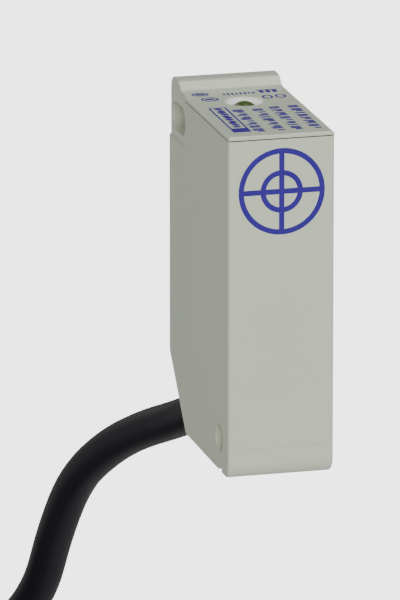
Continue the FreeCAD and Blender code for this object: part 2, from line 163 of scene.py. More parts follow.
def printed(piece: Piece, thickness: float) -> Piece:
    """Gives a flat sheet of ink its thickness, outwards.

    Args:
        piece: The sheet.
        thickness: In millimetres.

    Returns:
        The same piece.
    """
    wall = piece.modifiers.new("ink", "SOLIDIFY")
    wall.thickness = thickness * MM
    wall.offset = 1.0
    return piece


def ink_sheet(
    name: str, marks: list[Mark], place: Callable[[np.ndarray], np.ndarray],
    facing: Vector, thickness: float,
) -> Piece:
    """Prints flat marks on a plane as one piece.

    Args:
        name: The piece's name.
        marks: Each mark's pairs, and whether it closes into a ring.
        place: Turns a mark's pairs into points in the row frame.
        facing: The way the plane faces.
        thickness: The ink's, in millimetres.

    Returns:
        The printed piece.
    """
    patches = [Patch(place(pairs), round_columns=ring) for pairs, ring in marks]
    return printed(mesh_piece(name, patches, facing, smooth=False), thickness)


def ring_band(inner: float, outer: float, steps: int = 128) -> np.ndarray:
    """Flat ring in a plane: a point is its radius times (cos a, sin a).

    Args:
        inner: The inner circle's radius.
        outer: The outer circle's radius.
        steps: Points round it.

    Returns:
        Pairs on a grid, closed round the ring.
    """
    radius = np.array([inner, outer])[:, None]
    angle = full_turn(steps)[None, :]
    return np.stack([radius * np.cos(angle), radius * np.sin(angle)], axis=2)


def oval_band(half_long: float, half_short: float, stroke: float, steps: int = 64) -> np.ndarray:
    """Flat oval ring: an ellipse and a second one smaller by the stroke.

    Args:
        half_long: Half of the outer ellipse along the first axis.
        half_short: Half of it along the second.
        stroke: The line's width.
        steps: Points round it.

    Returns:
        Pairs on a grid, closed round the ring.
    """
    angle = full_turn(steps)[None, :]
    less = np.array([stroke, 0.0])[:, None]
    return np.stack([(half_long - less) * np.cos(angle), (half_short - less) * np.sin(angle)], axis=2)


def spoke(start: float, end: float, width: float, turn: float) -> np.ndarray:
    """Bar from one circle to another, whose ends follow the circles.

    A point at distance r and offset s across lies at (sqrt(r^2 - s^2), s),
    turned about the centre. A start of zero gives a straight end at half the
    width, where the bar meets the one that crosses it.

    Args:
        start: Radius of the circle that it starts on.
        end: Radius of the circle that it ends on.
        width: The bar's width.
        turn: Its direction, in radians.

    Returns:
        Pairs on a grid.
    """
    across = np.linspace(-width / 2, width / 2, 9)[None, :]
    radius = np.array([start, end])[:, None]
    along = np.sqrt(np.maximum(radius**2 - across**2, 0))
    if start == 0:
        along = np.stack([np.full(across.size, width / 2), along[1]])
    across = np.broadcast_to(across, along.shape)
    c, s = math.cos(turn), math.sin(turn)
    return np.stack([c * along - s * across, s * along + c * across], axis=2)


def pill(centre: Pair, length: float, width: float) -> np.ndarray:
    """Bar with round ends, along the first axis.

    Its half width at a distance d from an end is sqrt(r^2 - (r - d)^2) inside
    the end's radius r and r elsewhere.

    Args:
        centre: The bar's middle.
        length: From end to end.
        width: Across.

    Returns:
        Pairs on a grid.
    """
    radius = width / 2
    share = (1 - np.cos(np.linspace(0, math.pi, 25))) / 2
    along = (share - 0.5) * length
    inside = np.minimum(length / 2 - np.abs(along), radius)
    half = np.sqrt(np.maximum(radius**2 - (radius - inside) ** 2, 0))
    across = np.linspace(-1, 1, 3)[None, :] * half[:, None]
    first = np.broadcast_to(centre[0] + along[:, None], across.shape)
    return np.stack([first, centre[1] + across], axis=2)


def block_bar(low: Pair, high: Pair) -> np.ndarray:
    """Plain rectangle between two corners of a plane."""
    first, second = np.meshgrid([low[0], high[0]], [low[1], high[1]], indexing="ij")
    return np.stack([first, second], axis=2)


def lathe(profile: np.ndarray, origin: np.ndarray, axis: np.ndarray, steps: int = 64) -> Patch:
    """Turned shape: a profile carried round an axis.

    A point is the origin, plus its distance times the axis, plus its radius
    times (cos a side + sin a other), where side and other cross the axis.

    Args:
        profile: Pairs of distance along the axis and radius, in millimetres.
        origin: Where distance is zero.
        axis: Unit vector.
        steps: Points round the axis.

    Returns:
        The patch, closed round the axis.
    """
    side = np.cross(axis, [1.0, 0.0, 0.0])
    side /= np.linalg.norm(side)
    other = np.cross(axis, side)
    angle = full_turn(steps)[None, :, None]
    radius = profile[:, 1][:, None, None]
    ring = radius * (np.cos(angle) * side + np.sin(angle) * other)
    return Patch(origin + profile[:, 0][:, None, None] * axis + ring, round_columns=True)


def swept(path: np.ndarray, section: np.ndarray, up: np.ndarray, closed: bool) -> Patch:
    """Carries a flat section along a path.

    A point is the path's point, plus one offset times the vector across the
    path and the other times the up vector.

    Args:
        path: Points of the path, in millimetres.
        section: Pairs: offset across the path and offset along the up vector.
        up: The up vector at each point of the path.
        closed: Whether the path joins itself.

    Returns:
        The patch, closed round the section.
    """
    ahead = np.roll(path, -1, axis=0) - np.roll(path, 1, axis=0)
    if not closed:
        ahead[0], ahead[-1] = path[1] - path[0], path[-1] - path[-2]
    ahead /= np.linalg.norm(ahead, axis=1)[:, None]
    across = np.cross(ahead, up)
    across /= np.linalg.norm(across, axis=1)[:, None]
    sideways = section[None, :, 0, None] * across[:, None]
    upwards = section[None, :, 1, None] * up[:, None]
    return Patch(path[:, None] + sideways + upwards, round_rows=closed, round_columns=True)


# -------------------------------------------------------------- finishes ----

class Bed(Enum):
    """How coarse the grain of a moulded surface is, in bumps per metre."""

    SPARK = 5200.0
    SATIN = 9000.0
    SKIN = 2600.0


BLOTCHES_PER_METRE = 95.0
NOISE_SPREAD = (0.3, 0.7)     # the values that nearly all of a noise lies between


def grain_group() -> bpy.types.NodeTree:
    """Node group for moulded grain, built once and used by every moulded material.

    Its inputs are Scale, in bumps per metre, and Blotch, the share of the
    broad tone that shows. Its outputs are Tone, Rough and Height, which all
    vary round 0.5.

    Returns:
        The group.
    """
    name = "moulded_grain"
    if name in bpy.data.node_groups:
        return bpy.data.node_groups[name]
    group = bpy.data.node_groups.new(name, "ShaderNodeTree")
    for label, default in (("Scale", Bed.SPARK.value), ("Blotch", 0.5)):
        socket = group.interface.new_socket(label, in_out="INPUT", socket_type="NodeSocketFloat")
        socket.default_value = default
    for label in ("Tone", "Rough", "Height"):
        group.interface.new_socket(label, in_out="OUTPUT", socket_type="NodeSocketFloat")
    nodes, links = group.nodes, group.links
    given, result = nodes.new("NodeGroupInput"), nodes.new("NodeGroupOutput")
    place = nodes.new("ShaderNodeTexCoord")
    fine = nodes.new("ShaderNodeTexNoise")
    fine.inputs["Detail"].default_value = 4.0
    broad = nodes.new("ShaderNodeTexNoise")
    broad.inputs["Scale"].default_value = BLOTCHES_PER_METRE
    broad.inputs["Detail"].default_value = 3.0
    links.new(place.outputs["Object"], fine.inputs["Vector"])
    links.new(place.outputs["Object"], broad.inputs["Vector"])
    links.new(given.outputs["Scale"], fine.inputs["Scale"])
    mix = nodes.new("ShaderNodeMix")
    links.new(given.outputs["Blotch"], mix.inputs["Factor"])
    links.new(fine.outputs["Fac"], mix.inputs["A"])
    links.new(broad.outputs["Fac"], mix.inputs["B"])
    links.new(mix.outputs["Result"], result.inputs["Tone"])
    links.new(broad.outputs["Fac"], result.inputs["Rough"])
    links.new(fine.outputs["Fac"], result.inputs["Height"])
    return group


def new_material(name: str) -> tuple[bpy.types.Material, bpy.types.Node]:
    """Makes a material with a Principled shader.

    Args:
        name: The material's name.

    Returns:
        The material and its shader.
    """
    material = bpy.data.materials.new(name)
    material.use_nodes = True
    return material, material.node_tree.nodes["Principled BSDF"]


def set_constants(shader: bpy.types.Node, values: dict[str, object]) -> None:
    """Sets values on a node's own sockets."""
    for socket, value in values.items():
        shader.inputs[socket].default_value = value


def mixed_tone(material: bpy.types.Material, low: Colour, high: Colour) -> bpy.types.Node:
    """Mixes two colours into the shader's base colour.

    Args:
        material: A material with a Principled shader.
        low: The colour where the factor is 0.
        high: The colour where it is 1.

    Returns:
        The mix node, whose factor is still free.
    """
    nodes, links = material.node_tree.nodes, material.node_tree.links
    tone = nodes.new("ShaderNodeMix")
    tone.data_type = "RGBA"
    tone.inputs["A"].default_value = (*low, 1)
    tone.inputs["B"].default_value = (*high, 1)
    links.new(tone.outputs["Result"], nodes["Principled BSDF"].inputs["Base Color"])
    return tone


@dataclass(frozen=True)
class Moulded:
    """Moulded plastic or rubber with a fine grain."""

    name: str
    light: Colour
    dark: Colour
    rough: Pair
    bed: Bed = Bed.SPARK
    relief: float = 0.12
    depth: float = 0.02
    blotch: float = 0.5
    specular: float = 0.5

    def build(self) -> bpy.types.Material:
        """Builds the material, with tone, roughness and relief from the grain group.

        Returns:
            The material.
        """
        material, shader = new_material(self.name)
        nodes, links = material.node_tree.nodes, material.node_tree.links
        grain = nodes.new("ShaderNodeGroup")
        grain.node_tree = grain_group()
        grain.inputs["Scale"].default_value = self.bed.value
        grain.inputs["Blotch"].default_value = self.blotch
        tone = mixed_tone(material, self.dark, self.light)
        links.new(grain.outputs["Tone"], tone.inputs["Factor"])
        rough = nodes.new("ShaderNodeMapRange")
        set_constants(rough, {
            "From Min": NOISE_SPREAD[0], "From Max": NOISE_SPREAD[1],
            "To Min": self.rough[0], "To Max": self.rough[1],
        })
        links.new(grain.outputs["Rough"], rough.inputs["Value"])
        links.new(rough.outputs["Result"], shader.inputs["Roughness"])
        bump = nodes.new("ShaderNodeBump")
        bump.inputs["Strength"].default_value = self.relief
        bump.inputs["Distance"].default_value = self.depth * MM
        links.new(grain.outputs["Height"], bump.inputs["Height"])
        links.new(bump.outputs["Normal"], shader.inputs["Normal"])
        shader.inputs["Specular IOR Level"].default_value = self.specular
        return material


@dataclass(frozen=True)
class Plain:
    """A finish that is the same all over, such as ink, metal or ceramic."""

    name: str
    colour: Colour
    rough: float
    metal: float = 0.0
    specular: float = 0.5

    def build(self) -> bpy.types.Material:
        """Builds the material with constants on the shader's own sockets.

        Returns:
            The material.
        """
        material, shader = new_material(self.name)
        set_constants(shader, {
            "Base Color": (*self.colour, 1), "Roughness": self.rough,
            "Metallic": self.metal, "Specular IOR Level": self.specular,
        })
        return material


@dataclass(frozen=True)
class PaintedGlare:
    """Painted glare: white that fades outwards into the cover's colour, from one radius to another."""

    name: str
    centre: Pair
    radii: Pair
    inside: Colour
    outside: Colour
    rough: float = 0.42

    def build(self) -> bpy.types.Material:
        """Builds the material.

        The distance from the axis is the length of (x, y), once centred.

        Returns:
            The material.
        """
        material, shader = new_material(self.name)
        nodes, links = material.node_tree.nodes, material.node_tree.links
        place = nodes.new("ShaderNodeTexCoord")
        centred = nodes.new("ShaderNodeMapping")
        centred.inputs["Location"].default_value = (-self.centre[0] * MM, -self.centre[1] * MM, 0)
        centred.inputs["Scale"].default_value = (1, 1, 0)
        distance = nodes.new("ShaderNodeVectorMath")
        distance.operation = "LENGTH"
        share = nodes.new("ShaderNodeMapRange")
        set_constants(share, {"From Min": self.radii[0] * MM, "From Max": self.radii[1] * MM})
        tone = mixed_tone(material, self.inside, self.outside)
        links.new(place.outputs["Object"], centred.inputs["Vector"])
        links.new(centred.outputs["Vector"], distance.inputs[0])
        links.new(distance.outputs["Value"], share.inputs["Value"])
        links.new(share.outputs["Result"], tone.inputs["Factor"])
        shader.inputs["Roughness"].default_value = self.rough
        return material


FINISHES = {finish.name: finish for finish in (
    Moulded("housing_plastic", (0.458, 0.528, 0.422), (0.432, 0.450, 0.330), (0.38, 0.48)),
    Moulded("cover_plastic", (0.438, 0.500, 0.400), (0.412, 0.430, 0.318), (0.24, 0.32)),
    Moulded("rubber_black", (0.018, 0.018, 0.019), (0.012, 0.012, 0.013), (0.55, 0.7), Bed.SATIN),
    Moulded("tie_plastic", (0.020, 0.020, 0.021), (0.014, 0.014, 0.015), (0.35, 0.45), Bed.SATIN),
    Moulded(
        "cable_sheath", (0.0080, 0.0070, 0.0105), (0.0050, 0.0042, 0.0070), (0.45, 0.55), Bed.SKIN,
        relief=0.08, depth=0.03, specular=0.24,
    ),
    # painted glare: white in the light's dish that fades into the cover's colour
    PaintedGlare("dish_painted_glare", (-0.1, 11.5), (1.75, 2.3), (0.84, 0.85, 0.81), (0.44, 0.47, 0.375)),
    Plain("print_blue", (0.034, 0.019, 0.20), 0.5, specular=0.06),
    Plain("light_pipe", (0.045, 0.078, 0.015), 0.3, specular=0.15),
    # painted shade: dark colour that stands for the shadow in the seam under the cover
    Plain("seam_painted_shade", (0.050, 0.042, 0.032), 0.7, specular=0.1),
    Plain("chip_white", (0.85, 0.85, 0.80), 0.4),
    Plain("board_laminate", (0.03, 0.16, 0.06), 0.35),
    Plain("ferrite", (0.04, 0.04, 0.045), 0.7),
    Plain("bobbin_plastic", (0.80, 0.78, 0.70), 0.4),
    Plain("copper_wire", (0.72, 0.30, 0.12), 0.25, metal=1.0),
    Plain("brass", (0.75, 0.58, 0.28), 0.3, metal=1.0),
    Plain("chip_black", (0.02, 0.02, 0.02), 0.6),
    Plain("ceramic_tan", (0.50, 0.38, 0.24), 0.45),
    Plain("solder", (0.75, 0.75, 0.76), 0.25, metal=1.0),
    Plain("insulation_brown", (0.11, 0.035, 0.015), 0.38),
    Plain("insulation_blue", (0.015, 0.09, 0.42), 0.38),
    Plain("insulation_black", (0.014, 0.014, 0.016), 0.38),
    Plain("resin", (0.05, 0.05, 0.055), 0.4),
    Plain("tinned_copper", (0.78, 0.77, 0.75), 0.28, metal=1.0),
)}


@dataclass
class Paintbox:
    """Builds each finish once and puts it on pieces."""

    made: dict[str, bpy.types.Material] = field(default_factory=dict)

    def material(self, name: str) -> bpy.types.Material:
        """Finds a finish's material, and builds it at its first use.

        Args:
            name: The finish's name.

        Returns:
            The material.
        """
        if name not in self.made:
            self.made[name] = FINISHES[name].build()
        return self.made[name]

    def dress(self, piece: Piece, finish: str) -> Piece:
        """Gives a new piece its finish and its body.

        Args:
            piece: A piece at its place.
            finish: Name of the finish.

        Returns:
            The same piece.
        """
        piece.data.materials.clear()
        piece.data.materials.append(self.material(finish))
        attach(piece, ROOT)
        LOG.info("%s: %s", piece.name, finish)
        return piece

    def dress_nodes(self) -> None:
        """Gives every CAD node the finish of its slot in the record."""
        for part in frame["record"]["subparts"]:
            piece = frame["nodes"][part["node"]]
            material = self.material(part["material_slot"])
            if not piece.data.materials:
                piece.data.materials.append(material)
            for k in range(len(piece.material_slots)):
                piece.material_slots[k].material = material
            LOG.info("%s: %s", part["node"], part["material_slot"])


# ---------------------------------------------------------------- studio ----

@dataclass(frozen=True)
class SoftLight:
    """A flat light that looks at the sensor.

    azimuth and elevation are in degrees, as for the camera. distance and the
    two sides of size are in metres, and power is in watts.
    """

    name: str
    azimuth: float
    elevation: float
    distance: float
    size: Pair
    power: float


@dataclass
class Studio:
    """Floor, soft lights, pale surroundings and the camera."""

    azimuth: float = -14.71
    elevation: float = 15.54
    distance: float = 900.6
    lens: float = 486.8
    target: tuple[float, float, float] = (-5.64, 9.73, 13.13)
    floor_size: float = 8.0
    floor_tone: float = 0.60
    floor_glow: float = 3.0
    surroundings: float = 0.22
    lights: tuple[SoftLight, ...] = (
        SoftLight("key", -11.0, 18.0, 1.0, (0.6, 0.6), 12.0),
        SoftLight("overhead", 90.0, 75.0, 0.8, (0.75, 0.11), 2.6),
        SoftLight("right_fill", 95.0, 18.0, 1.2, (0.8, 0.8), 4.5),
        SoftLight("back_fill", 212.0, 36.0, 1.2, (0.7, 0.7), 4.6),
    )

    def direction(self, azimuth: float, elevation: float) -> Vector:
        """Unit vector from the sensor towards a place given by two angles in degrees."""
        a, e = math.radians(azimuth), math.radians(elevation)
        return Vector((math.sin(a) * math.cos(e), -math.cos(a) * math.cos(e), math.sin(e)))

    def build_camera(self) -> None:
        """Places the camera, unshifted, looking at the target."""
        data = bpy.data.cameras.new("camera")
        data.lens = self.lens
        data.sensor_width = 36.0
        data.clip_start, data.clip_end = 0.02, 60.0
        camera = bpy.data.objects.new("camera", data)
        back = self.direction(self.azimuth, self.elevation)
        camera.location = Vector(self.target) * MM + back * self.distance * MM
        camera.rotation_euler = (-back).to_track_quat("-Z", "Y").to_euler()
        bpy.context.scene.collection.objects.link(camera)
        bpy.context.scene.camera = camera

    def build_floor(self, height: float) -> None:
        """Lays a plain pale floor, a little brighter to the eye than the light that it throws back.

        Args:
            height: Its height in metres.
        """
        half = self.floor_size / 2 / MM
        sheet = block_bar((-half, -half), (half, half))
        patch = Patch(np.dstack([sheet, np.full(sheet.shape[:2], height / MM)]))
        floor = mesh_piece("floor", [patch], UPWARDS, smooth=False)
        material, shader = new_material("floor")
        set_constants(shader, {
            "Base Color": (self.floor_tone, self.floor_tone, self.floor_tone, 1), "Roughness": 0.9,
            "Specular IOR Level": 0.1, "Emission Color": (1, 1, 1, 1),
        })
        sight = material.node_tree.nodes.new("ShaderNodeLightPath")
        glow = material.node_tree.nodes.new("ShaderNodeMath")
        glow.operation = "MULTIPLY"
        glow.inputs[1].default_value = self.floor_glow
        material.node_tree.links.new(sight.outputs["Is Camera Ray"], glow.inputs[0])
        material.node_tree.links.new(glow.outputs["Value"], shader.inputs["Emission Strength"])
        floor.data.materials.append(material)

    def add_light(self, light: SoftLight) -> None:
        """Hangs a light and turns it to the sensor.

        Args:
            light: Its place, size and power.
        """
        data = bpy.data.lights.new(light.name, "AREA")
        data.shape = "RECTANGLE"
        data.size, data.size_y = light.size
        data.energy = light.power
        lamp = bpy.data.objects.new(light.name, data)
        back = self.direction(light.azimuth, light.elevation)
        lamp.location = back * light.distance
        lamp.rotation_euler = (-back).to_track_quat("-Z", "Y").to_euler()
        bpy.context.scene.collection.objects.link(lamp)

    def build(self, floor_height: float) -> None:
        """Builds the floor, the lights and the pale surroundings.

        Args:
            floor_height: Height of the floor, in metres.
        """
        self.build_floor(floor_height)
        for light in self.lights:
            self.add_light(light)
        world = bpy.data.worlds.new("studio")
        world.use_nodes = True
        sky = world.node_tree.nodes["Background"]
        set_constants(sky, {"Color": (1.0, 1.0, 1.0, 1), "Strength": self.surroundings})
        bpy.context.scene.world = world
        LOG.info("studio built")


# ----------------------------------------------------------------- cable ----

def round_curve(name: str, points: np.ndarray, radius: float, smoothness: int) -> bpy.types.Curve:
    """Makes a round spline of order 3 that starts and ends on its end points.

    Args:
        name: The curve's name.
        points: Its control points, in metres.
        radius: In millimetres.
        smoothness: Blender's bevel resolution.

    Returns:
        The curve, with closed ends.
    """
    curve = bpy.data.curves.new(name, "CURVE")
    curve.dimensions = "3D"
    curve.bevel_depth = radius * MM
    curve.bevel_resolution = smoothness
    curve.use_fill_caps = True
    spline = curve.splines.new("NURBS")
    spline.points.add(len(points) - 1)
    spline.points.foreach_set("co", np.column_stack([points, np.ones(len(points))]).ravel())
    spline.order_u = 3
    spline.use_endpoint_u = True
    return curve


@dataclass(frozen=True)
class TieShape:
    """Sizes of a tie: its strap's room, corner, half width and thickness, and its lock.

    lock is half of the lock's size outwards, along and up, and lock_profile
    gives shares of its height and width. Its place is lock_out past the strap
    and lock_up over the strap's middle. edge is the bevel on every edge.
    """

    room: float = 0.3
    corner: float = 1.9
    half_width: float = 1.25
    thick: float = 0.5
    lock: tuple[float, float, float] = (0.93, 1.68, 1.6)
    lock_profile: tuple[Pair, ...] = (
        (-1, 0), (-1, 0.82), (-0.8, 1), (0.8, 1), (1, 0.82), (1, 0),
    )
    lock_out: float = 0.5
    lock_up: float = 1.5
    edge: float = 0.12


@dataclass(frozen=True)
class WireShape:
    """Sizes of a bared wire and its ferrule.

    A step gives degrees past the cable's end, the way outwards, the height
    over the coil's top and the gap to the wire beside it. The ferrule's
    profile gives pairs of distance and radius.
    """

    radius: float = 0.65
    steps: tuple[tuple[float, float, float, float], ...] = (
        (-3, 0.0, -2.2, 0.8), (4, 0.1, -1.9, 0.85), (10, 0.8, -0.6, 1.0), (18, 1.9, 0.55, 1.3),
        (28, 4.3, 0.9, 1.8), (38, 7.6, 0.7, 2.3), (50, 11.6, 0.66, 2.9),
    )
    ferrule: tuple[Pair, ...] = (
        (-0.3, 0), (-0.3, 0.95), (1.0, 0.95), (1.3, 0.55), (6.2, 0.5), (6.35, 0.4), (6.35, 0),
    )
    ferrule_scale: Pair = (0.78, 0.68 / 0.95)


@dataclass
class Cable:
    """Fixed cable: hanging stretch, put-away coil, its ties and the bared end."""

    radius: float = 2.2
    length: float = 2000.0
    exit: tuple[float, float, float] = (0.0, 18.943, -0.125)
    route: tuple[tuple[float, float, float], ...] = (
        (0.0, 25.44, -3.875),
        (-2.1, 33.0, -7.5),
        (-4.7, 39.8, -10.5),
        (-7.2, 45.4, -14.0),
        (-9.8, 50.8, -19.1),
        (-11.35, 55.1, -26.9),
        (-12.4, 58.6, -35.4),
        (-15.8, 64.4, -42.1),
        (-21.4, 71.6, -46.2),
    )
    landing: tuple[float, float, float] = (-28.8, 78.4, -46.9)
    landing_angle: float = 50.0
    mid_radius: float = 25.0
    columns: int = 4
    layers: int = 3
    turn_points: int = 16
    end_angle: float = 95.0
    tie_angles: Pair = (-40.0, 215.0)
    tie: TieShape = TieShape()
    wire: WireShape = WireShape()

    def __post_init__(self) -> None:
        """Works out the coil's centre, section and top from the landing."""
        self.pitch = 2 * self.radius
        self.outer = self.mid_radius + (self.columns - 1) / 2 * self.pitch
        a = math.radians(self.landing_angle)
        x, y = self.landing[:2]
        self.centre = (x - self.outer * math.cos(a), y - self.outer * math.sin(a))
        self.top = self.landing[2] + self.radius
        self.bottom = self.top - self.layers * self.pitch

    def coil_points(self) -> np.ndarray:
        """Works out the control points of the turns.

        Turn n lies in column n // layers, counted inwards, and goes down one
        column and up the next. Over its last fifth a turn moves to the place
        of the next one by the share m^2 (3 - 2 m). The last turn runs on to
        the cable's end. The spline passes halfway between its control points,
        so they lie a little outside its circle: with n points to a turn, by
        the factor 2 / (1 + cos(pi / n)).

        Returns:
            The points, in millimetres.
        """
        turns = self.columns * self.layers
        past = (self.end_angle - self.landing_angle) / 360
        t = np.arange(1, int((turns + past) * self.turn_points) + 1) / self.turn_points
        n = np.minimum(np.floor(t), turns - 1).astype(int)
        following = np.minimum(n + 1, turns - 1)
        move = np.clip((t - n - 0.8) / 0.2, 0, 1)
        move = np.where(n == turns - 1, 0, move * move * (3 - 2 * move))

        def column_of(k: np.ndarray) -> np.ndarray:
            """Column of a turn, 0 outside."""
            return k // self.layers

        def layer_of(k: np.ndarray) -> np.ndarray:
            """Layer of a turn, 0 at the top."""
            step = k % self.layers
            return np.where(column_of(k) % 2 == 0, step, self.layers - 1 - step)

        column = column_of(n) + (column_of(following) - column_of(n)) * move
        layer = layer_of(n) + (layer_of(following) - layer_of(n)) * move
        widen = 2 / (1 + math.cos(math.pi / self.turn_points))
        radius = (self.outer - column * self.pitch) * widen
        angle = math.radians(self.landing_angle) + 2 * math.pi * t
        height = self.top - self.radius - layer * self.pitch
        x, y = self.centre
        return np.stack([x + radius * np.cos(angle), y + radius * np.sin(angle), height], axis=1)

    def build_cord(self, paint: Paintbox) -> Piece:
        """Makes the cable as one smooth spline through route and coil.

        Args:
            paint: The finishes.

        Returns:
            The cable.
        """
        route = np.array([self.exit, *self.route, self.landing])
        points = np.concatenate([route, self.coil_points()]) * MM
        curve = round_curve("cable", points, self.radius, 7)
        curve.resolution_u = 6
        cable = bpy.data.objects.new("cable", curve)
        bpy.context.scene.collection.objects.link(cable)
        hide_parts("cable_tube", "cable_coil")
        return paint.dress(cable, "cable_sheath")

    def on_coil(self, angle: float, radius: float, lift: float) -> np.ndarray:
        """Places a point round the coil.

        Args:
            angle: In degrees.
            radius: From the coil's axis.
            lift: Height over the coil's top.

        Returns:
            The point, in millimetres.
        """
        a = math.radians(angle)
        x, y = self.centre
        return np.array([x + radius * math.cos(a), y + radius * math.sin(a), self.top + lift])

    def build_tie(self, number: int, angle: float, paint: Paintbox) -> Piece:
        """Makes one tie: a flat strap round the turns' section, and its lock.

        The strap's path is a rounded rectangle, whose corner of radius r is a
        quarter circle, and the strap is a flat section carried along it. The
        lock is a squared circle, sign(v) sqrt(|v|) for each coordinate v,
        carried upwards with its ends narrowed and closed.

        Args:
            number: Its number, for its name.
            angle: Its place round the coil, in degrees.
            paint: The finishes.

        Returns:
            The tie.
        """
        shape = self.tie
        inner = self.outer - (self.columns - 0.5) * self.pitch
        outer = self.outer + self.pitch / 2
        half_wide = (outer - inner) / 2 + shape.room
        half_high = (self.top - self.bottom) / 2 + shape.room
        turn = full_turn(64) + math.pi / 64
        quarter = np.floor(turn / RIGHT_ANGLE) * RIGHT_ANGLE + RIGHT_ANGLE / 2
        u = np.sign(np.cos(quarter)) * (half_wide - shape.corner) + shape.corner * np.cos(turn)
        w = np.sign(np.sin(quarter)) * (half_high - shape.corner) + shape.corner * np.sin(turn)
        middle = self.on_coil(angle, (inner + outer) / 2, -(self.top - self.bottom) / 2)
        a = math.radians(angle)
        out = np.array([math.cos(a), math.sin(a), 0])
        along = np.array([-math.sin(a), math.cos(a), 0])
        up = np.array([0, 0, 1.0])
        path = middle + u[:, None] * out + w[:, None] * up
        normal = np.cos(turn)[:, None] * out + np.sin(turn)[:, None] * up
        across = np.array([-1, -1, 1, 1]) * shape.half_width
        section = np.column_stack([across, np.array([-1, 1, 1, -1]) * shape.thick / 2])
        strap = swept(path, section, normal, closed=True)

        k = full_turn(32)[None, :]
        level, wide = (row[:, None] for row in np.transpose(shape.lock_profile))
        cosine, sine = (np.sign(v) * np.sqrt(np.abs(v)) for v in (np.cos(k), np.sin(k)))
        lock = (
            (wide * cosine * shape.lock[0])[..., None] * out
            + (wide * sine * shape.lock[1])[..., None] * along
            + (level * np.ones_like(k) * shape.lock[2])[..., None] * up
        )
        lock_at = middle + (half_wide + shape.lock_out) * out + shape.lock_up * up
        patches = [strap, Patch(lock_at + lock, round_columns=True)]
        tie = mesh_piece(f"cable_tie_{number}", patches, smooth=False)
        edge = tie.modifiers.new("edge", "BEVEL")
        edge.width, edge.segments, edge.limit_method = shape.edge * MM, 2, "ANGLE"
        return paint.dress(tie, "tie_plastic")

    def build_wire(self, colour: str, side: int, paint: Paintbox) -> tuple[Piece, Piece]:
        """Makes one bared wire and its ferrule.

        Args:
            colour: The insulation's colour.
            side: Its place beside the others, -1, 0 or 1.
            paint: The finishes.

        Returns:
            The wire and the ferrule.
        """
        shape = self.wire
        base = self.outer - (self.columns - 1) * self.pitch
        path = [
            self.on_coil(self.end_angle + turn, base + out + side * gap, lift)
            for turn, out, lift, gap in shape.steps
        ]
        wire = self.wire_along(f"wire_{colour}", np.array(path))
        ahead = path[-1] - path[-2]
        ahead = ahead / np.linalg.norm(ahead)
        profile = np.array(shape.ferrule) * shape.ferrule_scale
        ferrule = mesh_piece(f"ferrule_{colour}", [lathe(profile, path[-1], ahead, 32)])
        paint.dress(wire, f"insulation_{colour}")
        paint.dress(ferrule, "tinned_copper")
        return wire, ferrule

    def wire_along(self, name: str, path: np.ndarray) -> Piece:
        """Makes a round wire along a smooth spline, as a mesh.

        Args:
            name: The wire's name.
            path: Its control points, in millimetres.

        Returns:
            The wire.
        """
        curve = round_curve(name, path * MM, self.wire.radius, 4)
        holder = bpy.data.objects.new(f"{name}_line", curve)
        piece = bpy.data.objects.new(name, bpy.data.meshes.new_from_object(holder))
        bpy.data.objects.remove(holder)
        bpy.context.scene.collection.objects.link(piece)
        return piece

    def build(self, paint: Paintbox, bush: Piece) -> None:
        """Args:
            paint: The finishes.
            bush: The strain relief at its exit. Not used.
        """
        cable = self.build_cord(paint)
        ties = [self.build_tie(k + 1, angle, paint) for k, angle in enumerate(self.tie_angles)]
        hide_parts("coil_ties")
        ends = []
        for colour, side in (("brown", -1), ("blue", 0), ("black", 1)):
            wire, ferrule = self.build_wire(colour, side, paint)
            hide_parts(f"tail_{colour}")
            ends += [wire, ferrule]
        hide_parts("wire_ferrules")


# ---------------------------------------------------------------- sensor ----

@dataclass
class StrainRelief:
    """Rubber bush round the cable at the back chamfer, from inside the housing to a little outside."""

    droop: float = 30.0
    entry: tuple[float, float, float] = (0.0, 18.25, 0.275)
    inside: float = -6.0
    proud: float = 0.8
    radius: float = 2.9
    bore: float = 2.2
    rounding: float = 0.3

    def build(self, paint: Paintbox) -> Piece:
        """Turns the bush: a sleeve whose outer end has a round edge.

        The edge is a quarter circle of radius r, r (sin a, cos a) from its
        centre.

        Args:
            paint: The finishes.

        Returns:
            The bush.
        """
        d = math.radians(self.droop)
        axis = np.array([0.0, math.cos(d), -math.sin(d)])
        bend = np.linspace(0, RIGHT_ANGLE, 9)
        r = self.rounding
        collar = np.column_stack([self.proud - r + r * np.sin(bend), self.radius - r + r * np.cos(bend)])
        profile = np.concatenate([
            [[self.inside, self.bore], [self.inside, self.radius]],
            collar,
            [[self.proud, self.bore]],
            [[self.inside, self.bore]],
        ])
        bush = mesh_piece("cable_bush_collar", [lathe(profile, np.array(self.entry), axis)])
        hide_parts("cable_bush")
        return paint.dress(bush, "rubber_black")


def cover_height() -> float:
    """Height of the cover's face, in millimetres."""
    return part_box("cap")[1][2] / MM - LUG_RISE


